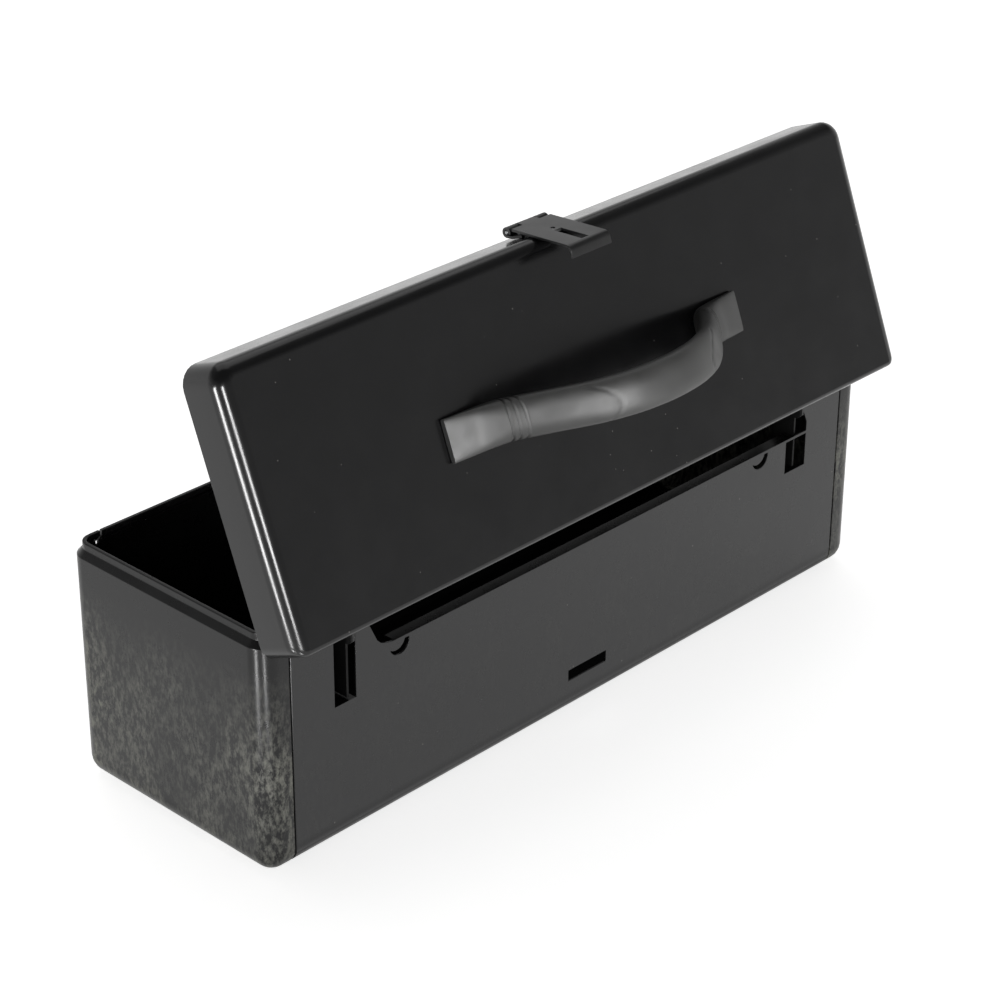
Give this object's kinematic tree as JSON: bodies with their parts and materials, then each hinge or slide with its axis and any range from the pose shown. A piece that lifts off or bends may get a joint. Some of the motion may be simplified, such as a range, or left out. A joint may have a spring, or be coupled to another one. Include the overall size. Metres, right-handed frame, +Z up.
{
  "type": "metal tool box",
  "caption": "Long narrow sheet-steel tool box with a hinged lid standing open, an arched carry handle on the lid, and a hasp that swings down over a padlock staple.",
  "frame": {"origin": "middle of the underside of the case", "axes": "+X along the case towards its left end as seen from the hinge side, +Y out of the hinge side, +Z up"},
  "size_m": [0.406, 0.1858, 0.2388],
  "materials": {
    "case_paint": "semi-gloss black paint on pressed sheet steel, scuffed on the ends",
    "lid_paint": "semi-gloss black paint on pressed sheet steel",
    "hasp_paint": "semi-gloss black paint on flat steel",
    "handle_plastic": "satin black moulded plastic",
    "zinc_steel": "dull zinc plating"
  },
  "bodies": {
    "case": {"body_trough": "case_paint", "end_cap_left": "case_paint", "end_cap_right": "case_paint", "hinge_bracket_left": "case_paint", "hinge_bracket_right": "case_paint", "hinge_rod": "zinc_steel", "staple_loop": "hasp_paint", "staple_backplate": "zinc_steel"},
    "lid": {"lid_shell": "lid_paint", "hinge_strip": "lid_paint", "hinge_tongue": "lid_paint", "handle_grip": "handle_plastic", "handle_washer_left": "zinc_steel", "handle_washer_right": "zinc_steel", "handle_screw_left": "zinc_steel", "handle_screw_right": "zinc_steel", "hasp_base": "hasp_paint", "hasp_rivet_left": "zinc_steel", "hasp_rivet_right": "zinc_steel", "hasp_pin": "zinc_steel"},
    "hasp": {"hasp_leaf": "hasp_paint"}
  },
  "joints": [
    {"name": "lid_hinge", "type": "hinge", "parent": "case", "child": "lid", "pos_m": [0, 0.0611, 0.1119], "axis": [1, 0, 0], "range_deg": [-31.5, 68.5]},
    {"name": "hasp_hinge", "type": "hinge", "parent": "lid", "child": "hasp", "pos_m": [0, 0.02124, 0.23409], "axis": [1, 0, 0], "range_deg": [0, 198]}
  ]
}
